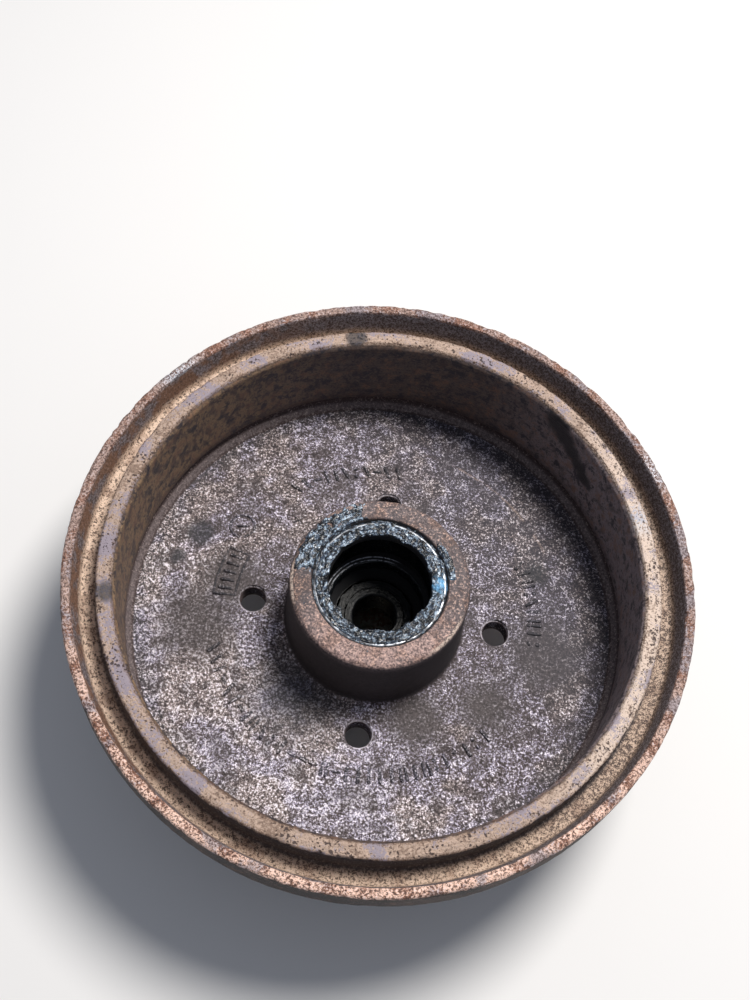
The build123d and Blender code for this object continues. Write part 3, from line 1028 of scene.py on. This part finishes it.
# rusted cast iron, with the textures that several of its zones share
class Iron(Finish):
    def __init__(self, name):
        super().__init__(name)
        self.warp = (self.noise(0.22, 2.0) - 0.5) * 3.0    # makes the edges of stains wander
        self.patches = self.noise(0.045, 3.0, 0.55)
        self.blotches = self.noise(0.075, 4.0, 0.62)
        self.coarse = self.noise(0.11, 4.0, 0.6)
        self.mottle = self.noise(0.19, 4.0, 0.68)
        self.grit = self.noise(1.0, 4.0, 0.66)
        self.fine = self.noise(2.3, 2.0, 0.6)
        self.speckle = self.grit * 0.6 + self.fine * 0.4
        self.dark = self.ramp(self.speckle, 0.485, 0.43)
        self.light = self.ramp(self.speckle, 0.545, 0.605)
        self.leftSide = self.ramp(self.x, -20.0, -85.0)
        self.scoring = self.noise(1.0, 3.0, 0.7, self.combed(0.03, 0.0, 1.6))
        self.turned = self.noise(1.0, 2.0, 0.6, self.combed(0.02, 1.9, 1.9))
        drawnOut = self.node("CombineXYZ", sockets={0: self.x, 1: self.y, 2: self.z * 0.55})
        self.runs = self.noise(0.35, 4.0, 0.62, drawnOut)
        bending = {0: self.noiseColour(0.5), 1: (2.4, 2.4, 2.4), 2: self.mmAt}
        pitCells = self.cells(0.62, self.node("VectorMath", {"operation": "MULTIPLY_ADD"}, bending))
        uneven = pitCells + (self.coarse - 0.5) * 1.6 + (self.grit - 0.5) * 0.5
        self.pitted = 1 - self.ramp(uneven, 0.10, 0.20)
        self.smear = self.spotShare("trackSmear", self.warp * 0.6)
        worn = self.ramp(self.coarse * 0.4 + self.patches * 0.6, 0.54, 0.64) * 0.6
        self.rubbed = self.most(worn, self.spotShare("smooth"))
        onTop = self.spotShare("rimBare") * self.ramp(self.z, 50.0, 54.0)
        self.scuffs = onTop * self.ramp(self.speckle, 0.47, 0.54) * 0.75
        self.mountingFace = (1 - self.ramp(self.z, -0.3, 1.2)) * (1 - self.ramp(self.radius, 98.0, 101.0))

    # how far a point lies within the listed spots of one kind
    def spotShare(self, kind, wobble=None):
        return self.most(*[
            self.spot(onCircle(radius, azimuth, height), reach, blur, wobble or self.warp)
            for radius, azimuth, height, reach, blur in markedSpots[kind]
        ])

    # one of the iron's colours, painted shade and light among them, laid over what is there
    def coat(self, under, share, name):
        return self.mix(share, under, ironColours[name])


def webColour(f):
    # brown iron under a tan crust with a lilac painted sky reflection and white painted glints, rubbed
    # smooth in places
    # painted light: more crust and flecks towards the near left, which makes the web lighter there
    paintedLightNearLeft = f.ramp(f.x * -0.6 - f.y * 0.8, 10.0, 60.0)
    clumps = f.noise(0.24, 2.0, 0.5)
    speckle = f.speckle + paintedLightNearLeft * 0.031 + (clumps - 0.5) * 0.17 - 0.016
    # tan crust mixed with the lilac painted sky reflection
    crustAndSkyTint = f.mix(f.ramp(f.patches - f.leftSide * 0.05, 0.42, 0.54), ironColours["webTan"], ironColours["webLilac"])
    crusted = f.ramp(speckle, 0.495, 0.54) * (f.ramp(f.coarse, 0.36, 0.52) * 0.75 + 0.25)
    colour = f.mix(f.ramp(speckle, 0.43, 0.485), ironColours["webDark"], ironColours["webBrown"])
    colour = f.mix(crusted, colour, crustAndSkyTint)
    # white flecks: painted glints
    colour = f.coat(colour, f.ramp(speckle, 0.545, 0.585), "webFleck")
    colour = f.coat(colour, f.ramp(f.coarse, 0.47, 0.36) * 0.45, "webDark")
    plain = ironColours["webSmooth"]
    smoothTone = f.mix(f.ramp(f.grit, 0.35, 0.62), shaded(plain, 0.6), shaded(plain, 1.6))
    colour = f.mix(f.rubbed * (f.ramp(speckle, 0.62, 0.54) * 0.2 + 0.75), colour, smoothTone)
    # painted shade: the web darkens towards the far right, where the drum wall's shadow falls
    farShadeShare = f.ramp(f.x * 0.75 + f.y * 0.66 + f.warp * 4.0, 5.0, 80.0)
    # painted shade: darker towards the foot of the drum wall, less on the far side
    wallFootShade = f.ramp(f.radius + f.warp * 1.5, 88.0, 98.0) * (1 - farShadeShare * 0.7)
    colour = f.coat(colour, wallFootShade * (f.ramp(f.speckle, 0.54, 0.46) * 0.6 + 0.12), "smudgeAndShade")
    colour = f.coat(colour, farShadeShare * (f.ramp(speckle, 0.58, 0.50) * 0.35 + 0.25), "paintedFarShade")
    # painted shadow of the boss on the web at its lower left
    colour = f.coat(colour, f.spotShare("paintedBossShadow") * 0.72, "smudgeAndShade")
    castLine = f.between(f.radius + f.warp * 0.4, 78.2, 79.0, 0.35)
    castLine = castLine * f.ramp(f.x * 0.57 + f.y * 0.82, 68.0, 76.0)
    broken = f.ramp(f.coarse + (f.grit - 0.5) * 0.5, 0.42, 0.56)
    colour = f.coat(colour, castLine * broken * 0.30, "lipCream")
    colour = f.coat(colour, f.spotShare("smudges") * 0.8, "smudgeAndShade")
    return boltHoleEdges(f, colour)


def boltHoleEdges(f, colour):
    # the edges of the bolt holes are lighter, and their threads are darkened as painted shade
    sideways = f.maths("ABSOLUTE", f.x)
    upwards = f.maths("ABSOLUTE", f.y)
    offCircle = f.most(sideways, upwards) - boltHoles["circle"]
    flat = f.node("CombineXYZ", sockets={0: offCircle, 1: f.maths("MINIMUM", sideways, upwards)})
    offHole = f.node("VectorMath", {"operation": "LENGTH"}, {0: flat}, out=1)
    edge = f.between(offHole, boltHoles["minor"] + 0.1, boltHoles["minor"] + 0.75, 0.2)
    edge = edge * f.ramp(f.z, 7.6, 8.4) * (f.ramp(f.x - f.y, 10.0, 60.0) * 0.5 + 0.5)
    colour = f.coat(colour, edge * f.ramp(f.coarse + f.grit, 0.84, 1.06) * 0.6, "webFleck")
    # painted shade down the threads of the holes
    return f.coat(colour, f.ramp(offHole, 5.6, 5.2) * 0.8, "pitAndShade")


def trackColour(f):
    # fine scoring round the drum, old runs down it, a tan film on its far left
    blend = f.mottle * 0.7 + f.grit * 0.3
    colour = f.mix(f.ramp(f.scoring, 0.35, 0.65), shaded(ironColours["track"], 0.66), ironColours["track"])
    greyed = f.ramp(f.x, 25.0, 85.0) * (f.ramp(f.mottle, 0.30, 0.62) * 0.5 + 0.5)
    colour = f.coat(colour, greyed, "trackGrey")
    colour = f.coat(colour, f.leftSide * (f.ramp(f.runs, 0.40, 0.58) * 0.8 + 0.2), "trackTan")
    colour = f.coat(colour, f.ramp(f.runs, 0.50, 0.40) * 0.5, "pitAndShade")
    colour = f.coat(colour, f.ramp(blend, 0.52, 0.60) * 0.65, "outsideRust")
    colour = f.coat(colour, f.ramp(blend, 0.48, 0.42) * 0.85, "trackBlue")
    colour = f.coat(colour, f.dark * 0.6, "pitAndShade")
    colour = f.coat(colour, f.ramp(f.z, 20.0, 15.0) * f.ramp(f.runs, 0.42, 0.56) * 0.7, "pitAndShade")
    return f.coat(colour, f.smear * 0.95, "greasy")


def reliefColour(f):
    # painted shade: dark under the foot of the track and where the web meets it, with a brown ring between
    ring = f.between(f.radius + (f.grit - 0.5) * 2.0, 98.4, 100.4, 0.4)
    colour = f.mix(ring, ironColours["pitAndShade"], ironColours["webBrown"])
    colour = f.coat(colour, f.dark * 0.7, "pitAndShade")
    return f.coat(colour, f.light * 0.7, "webTan")


def lipColour(f):
    # a cream film with brown patches and lilac patches of painted sky reflection, pitted
    streaks = f.noise(1.0, 3.0, 0.6, f.combed(0.12, 1.1, 0.0))
    brushed = f.ramp(streaks * 0.5 + f.fine * 0.5, 0.36, 0.62)
    colour = f.mix(brushed, shaded(ironColours["lipCream"], 0.62), ironColours["lipCream"])
    colour = f.coat(colour, f.ramp(f.x, 60.0, 95.0) * 0.8, "lipPale")
    lilac = f.blotches * 0.6 + f.grit * 0.4 + f.leftSide * 0.03
    colour = f.coat(colour, f.ramp(lilac, 0.52, 0.58) * 0.85, "lipLilac")
    colour = f.coat(colour, f.ramp(f.blotches * 0.5 + f.grit * 0.5, 0.475, 0.42) * 0.7, "lipBrown")
    flawed = f.between(f.radius + (f.mottle - 0.5) * 4.0, 104.6, 105.8, 0.4) * f.ramp(f.x, 40.0, 90.0)
    colour = f.coat(colour, flawed * f.ramp(f.speckle + f.coarse * 0.3, 0.66, 0.60) * 0.85, "pitAndShade")
    edges = 1 - f.between(f.radius + (f.coarse - 0.5) * 5.0, 101.9, 106.6, 0.5)
    colour = f.coat(colour, edges * f.ramp(f.speckle, 0.56, 0.46) * 0.8, "lipBrown")
    colour = f.coat(colour, f.most(f.pitted, f.ramp(f.speckle, 0.425, 0.395)) * 0.9, "pitAndShade")
    colour = f.coat(colour, f.spotShare("lipDirt") * 0.8, "smudgeAndShade")
    return f.coat(colour, f.spotShare("lipBare") * f.ramp(f.grit, 0.42, 0.55) * 0.6, "silver")


def grooveColour(f):
    # the floor of the groove and the wall outside it, paler on the left as painted light, darker on the
    # right and at the foot of the lip as painted shade
    colour = f.mix(f.ramp(f.speckle, 0.44, 0.56), ironColours["groove"], ironColours["grooveTan"])
    # painted light: paler on the left
    colour = f.coat(colour, f.leftSide * f.ramp(f.grit, 0.38, 0.52) * 0.7, "groovePale")
    colour = f.coat(colour, f.ramp(f.coarse, 0.50, 0.38) * 0.45, "outsideRust")
    wall = f.mix(f.ramp(f.speckle, 0.46, 0.56), ironColours["flangeWall"], ironColours["rimGrey"])
    wall = f.coat(wall, f.leftSide * f.ramp(f.coarse, 0.42, 0.55), "outsideRust")
    colour = f.mix(f.ramp(f.z + (f.coarse - 0.5) * 4.0, 44.4, 48.5), colour, wall)
    # painted shade: darker on the right
    colour = f.coat(colour, f.ramp(f.x, 40.0, 95.0) * f.ramp(f.speckle, 0.58, 0.46) * 0.8, "flangeWall")
    # painted shade on the lip's outer wall and the groove floor beside it
    colour = f.coat(colour, f.ramp(f.radius + f.warp * 0.25, 109.4, 107.8) * 0.9, "smudgeAndShade")
    colour = f.coat(colour, f.dark * 0.75, "pitAndShade")
    return f.coat(colour, f.light * 0.45, "webTan")


def rimColour(f):
    # pink scale, orange where it has flaked, grey patches with a lilac painted sky reflection, white
    # painted glints, and silver where it is rubbed
    near = f.mix(f.ramp(f.y + f.warp * 6.0, -10.0, -85.0), ironColours["rimFar"], ironColours["rimPink"])
    colour = f.mix(f.ramp(f.coarse * 0.6 + f.grit * 0.4, 0.43, 0.53), ironColours["rimOrange"], near)
    colour = f.coat(colour, f.ramp(f.blotches * 0.7 + f.grit * 0.3, 0.53, 0.59) * 0.75, "rimGrey")
    colour = f.coat(colour, f.ramp(f.speckle, 0.515, 0.445) * 0.85, "pitAndShade")
    # white flecks: painted glints
    colour = f.coat(colour, f.light * 0.35, "webFleck")
    return f.coat(colour, f.scuffs, "silver")


def outerColour(f):
    # the outside, and the turned mounting face
    cloud = f.patches * 0.5 + f.coarse * 0.3 + f.grit * 0.2
    colour = f.mix(f.ramp(cloud, 0.44, 0.56), ironColours["outside"], ironColours["outsideBrown"])
    colour = f.coat(colour, f.ramp(f.mottle * 0.6 + f.grit * 0.4, 0.53, 0.60) * 0.5, "outsideRust")
    colour = f.coat(colour, f.ramp(f.runs, 0.50, 0.38) * 0.5, "outside")
    colour = f.coat(colour, f.light * 0.3, "rimGrey")
    colour = f.coat(colour, f.dark * 0.5, "pitAndShade")
    plain = f.mix(f.ramp(f.turned, 0.38, 0.62), shaded(ironColours["machined"], 0.55), ironColours["machined"])
    plain = f.coat(plain, f.ramp(f.coarse, 0.50, 0.60) * 0.75, "outsideRust")
    return f.mix(f.mountingFace, colour, plain)


def bossColour(f):
    face = f.mix(f.ramp(f.y, -4.0, -27.0), ironColours["bossFar"], ironColours["bossFace"])
    face = f.coat(face, f.ramp(f.x + f.warp, -22.0, -31.0) * 0.8, "bossLeft")
    face = f.coat(face, f.ramp(f.coarse, 0.55, 0.42) * 0.45, "outsideRust")
    face = f.coat(face, f.ramp(f.speckle, 0.515, 0.435) * 0.8, "pitAndShade")
    face = f.coat(face, f.light * 0.6, "rimPink")
    face = f.coat(face, f.ramp(f.patches * 0.5 + f.grit * 0.5, 0.52, 0.44) * 0.5, "bossLeft")
    wallTone = f.mix(f.ramp(f.y, 24.0, -10.0), ironColours["bossWall"], ironColours["bossShade"])
    wall = f.mix(f.ramp(f.speckle, 0.45, 0.60), shaded(ironColours["bossShade"], 0.6), wallTone)
    wall = f.coat(wall, f.ramp(f.z, 40.5, 45.0) * f.ramp(f.speckle, 0.40, 0.56) * 0.8, "bossFar")
    colour = f.mix(f.ramp(f.z, 44.6, 46.0), wall, face)
    # painted highlights along the rounded corner of the boss's face
    corner = f.between(f.radius, 33.6, 34.7, 0.3) * f.between(f.z, 44.6, 46.6, 0.2)
    return f.coat(colour, corner * f.spotShare("bossCornerHighlights") * f.ramp(f.speckle, 0.44, 0.50) * 0.8, "lipPale")


def boreColour(f):
    # greasy black, with a painted highlight on the ledge above the cavity
    ledgeHighlight = f.most(f.between(f.radius, 19.75, 20.1, 0.08), f.between(f.radius, 20.95, 21.3, 0.08))
    ledgeHighlight = ledgeHighlight * f.between(f.z, 20.2, 21.3, 0.1) * f.ramp(f.y - f.x * 0.6, 14.0, 20.0)
    return f.mix(ledgeHighlight * f.ramp(f.grit, 0.40, 0.50), ironColours["greasy"], ironColours["silver"])


def ironFinish(name, dirt=0.0):
    f = Iron(name)
    r, z = f.radius, f.z
    isTop = f.ramp(z, 54.2, 55.3)
    isWeb = f.between(r, 36.6, 99.0, 0.7) * f.between(z, 1.0, 10.6, 0.8)
    isTrack = f.between(r, 99.0, 102.4, 0.4) * f.between(z, 14.2, 54.6, 0.4)
    isRelief = f.between(r, 97.6, 104.0, 0.5) * f.between(z, 5.0, 14.2, 0.4)
    isGroove = (1 - isTop) * f.ramp(z, 42.0, 42.8) * f.between(r, 103.5, 117.4, 0.6)
    isLip = isTop * f.between(r, 99.8, 110.0, 0.6)
    isRim = isTop * f.ramp(r, 113.0, 115.0)
    isBoss = (1 - f.ramp(r, 36.2, 37.4)) * f.ramp(z, 8.6, 9.6)
    isBore = (1 - f.ramp(r, 26.2, 26.9)) * (1 - f.ramp(z, 46.2, 46.7))
    zones = (
        (isWeb, webColour), (isTrack, trackColour), (isRelief, reliefColour), (isGroove, grooveColour),
        (isLip, lipColour), (isRim, rimColour), (isBoss, bossColour), (isBore, boreColour),
    )
    colour = outerColour(f)
    for share, zoneColour in zones:
        colour = f.mix(share, colour, zoneColour(f))
    if dirt:
        colour = f.coat(colour, f.ramp(f.speckle, 0.62, 0.46) * dirt, "smudgeAndShade")

    glint = isWeb * f.light * (1 - f.rubbed * 0.6)
    bare = f.most(glint * 0.5, f.scuffs * isRim)
    rough = 0.72 - glint * 0.28 - isTrack * 0.16 - f.smear * isTrack * 0.2
    rough = rough - f.scuffs * isRim * 0.35 + isBore * 0.1
    strong = 1 - isTrack * 0.72 - isBore * 0.9 - f.mountingFace * 0.7 - isBoss * 0.35
    height = (f.speckle * 1.15 - f.pitted * (isLip + isRim) * 0.8) * strong
    height = height + f.turned * f.mountingFace * 0.3
    height = height * (1 - f.rubbed * isWeb * 0.55) + f.scoring * isTrack * 0.35
    normal = f.bump(height, 1.0, 0.5)
    return f.surface(Base_Color=colour, Roughness=rough, Metallic=bare, Normal=normal)


def greaseFinish():
    f = Finish("bearing_grease")
    streaks = f.noise(1.0, 4.0, 0.62, f.combed(0.28, 0.9, 0.7))
    lumps = f.noise(0.42, 3.0, 0.6)
    mixed = streaks * 0.5 + lumps * 0.5
    # painted sheen: where the ridges catch a blue-grey sky reflection
    paintedSheen = f.ramp(mixed, 0.45, 0.56)
    # the painted sheen and highlights are kept to the upper grease, and weaker on the near side
    high = f.ramp(f.z, 43.0, 45.0) * (1 - f.ramp(f.y, -6.0, -20.0) * 0.4)
    curls = f.ramp(f.maths("ABSOLUTE", f.noise(0.5, 2.0, 0.5) - 0.5), 0.045, 0.015)
    drawn = f.noise(0.45, 2.0, 0.5, f.combed(1.0, 1.0, 1.0))
    gaps = f.ramp(f.maths("ABSOLUTE", drawn - 0.5), 0.035, 0.012)
    # blue-grey ridges, partly the grease's own colour and partly painted sky reflection
    colour = f.mix(paintedSheen * high, (0.008, 0.010, 0.014), (0.090, 0.125, 0.185))
    # painted highlights on the curls and the highest ridges
    colour = f.mix(curls * paintedSheen * high * 0.9, colour, (0.58, 0.74, 0.92))
    colour = f.mix(f.ramp(mixed, 0.56, 0.61) * high * 0.8, colour, (0.66, 0.78, 0.90))
    # painted shade: dark lines in the drawn creases between the painted highlights
    colour = f.mix(gaps * 0.9, colour, (0.006, 0.007, 0.010))
    smear = f.spot(onCircle(24.2, 7, 45.4), 3.0, 1.5, (lumps - 0.5) * 9.0)
    colour = f.mix(smear * f.ramp(streaks, 0.38, 0.5), colour, (0.17, 0.44, 0.74))
    ripples = f.noise(1.3, 3.0, 0.6)
    normal = f.bump(streaks * 0.9 + ripples * 0.5 + curls * 0.25 - gaps * 0.3, 1.0, 0.5)
    look = {"Base_Color": colour, "Roughness": 0.10 + lumps * 0.22, "Normal": normal}
    return f.surface(IOR=1.47, Coat_Weight=0.5, Coat_Roughness=0.06, **look)


def bearingFinish():
    f = Finish("greasy_bearing_steel")
    ring = f.noise(1.0, 3.0, 0.6, f.combed(0.05, 1.4, 1.4))
    film = f.noise(0.25, 4.0, 0.6)
    bare = f.ramp(ring * 0.5 + film * 0.5, 0.50, 0.60)
    colour = f.mix(bare, (0.003, 0.0035, 0.004), (0.011, 0.012, 0.014))
    normal = f.bump(ring * 0.6 + film, 1.0, 0.5)
    look = {"Base_Color": colour, "Roughness": 0.16 + film * 0.2, "Normal": normal}
    return f.surface(Specular_IOR_Level=0.12, **look)


def pressedFinish():
    f = Finish("greasy_pressed_steel")
    ring = f.noise(1.0, 3.0, 0.6, f.combed(0.08, 2.0, 2.0))
    film = f.noise(0.35, 4.0, 0.65)
    dirty = f.ramp(film, 0.42, 0.58)
    colour = f.mix(dirty, (0.36, 0.38, 0.42), (0.03, 0.032, 0.04))
    colour = f.mix(f.ramp(ring, 0.56, 0.66) * 0.6, colour, (0.62, 0.64, 0.68))
    normal = f.bump(ring * 0.6 + film * 0.4, 0.6, 0.15)
    metal = 0.75 - dirty * 0.5
    return f.surface(Base_Color=colour, Metallic=metal, Roughness=0.28 + film * 0.2, Normal=normal)


def rubberFinish():
    f = Finish("oily_seal_rubber")
    film = f.noise(0.5, 4.0, 0.6)
    grain = f.noise(3.0, 2.0, 0.6)
    colour = f.mix(film, (0.012, 0.012, 0.013), (0.035, 0.034, 0.036))
    normal = f.bump(grain * 0.5 + film * 0.5, 0.4, 0.1)
    return f.surface(Base_Color=colour, Roughness=0.30 + film * 0.25, Normal=normal)


def capFinish():
    f = Finish("zinc_plated_cap")
    cloud = f.noise(0.10, 4.0, 0.6)
    grit = f.noise(0.7, 3.0, 0.65)
    bloom = f.ramp(cloud * 0.6 + grit * 0.4, 0.50, 0.58)
    foot = f.ramp(f.z, -17.0, -13.6)
    colour = f.mix(f.ramp(cloud, 0.35, 0.65), (0.300, 0.285, 0.240), (0.470, 0.450, 0.390))
    rusty = f.most(bloom, foot * f.ramp(grit, 0.42, 0.54))
    colour = f.mix(rusty, colour, (0.205, 0.100, 0.058))
    drawn = f.noise(1.0, 2.0, 0.6, f.combed(0.02, 1.2, 1.2))
    normal = f.bump(drawn * 0.3 + grit * bloom * 0.9, 0.5, 0.2)
    metal = 0.65 - bloom * 0.6
    return f.surface(Base_Color=colour, Metallic=metal, Roughness=0.42 + bloom * 0.35, Normal=normal)


def dressBearings(finish):
    # the bearings keep their true shapes and get a greasy steel finish
    for name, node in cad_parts.items():
        if "bearing" in name or name.startswith("roller_"):
            if node.type == "MESH":
                node.data.materials.clear()
                node.data.materials.append(finish)
    print("bearings dressed")


setStage()
makeCasting(ironFinish("rusted_cast_iron"))
makeMarks(ironFinish("dirty_cast_iron", 0.85))
pressed = pressedFinish()
makeSealCase(pressed)
makeSealLip(rubberFinish())
makeGarterSpring(pressed)
grease = greaseFinish()
makeMouthGrease(grease)
makeCavityGrease(grease)
makeDustCap(capFinish())
dressBearings(bearingFinish())
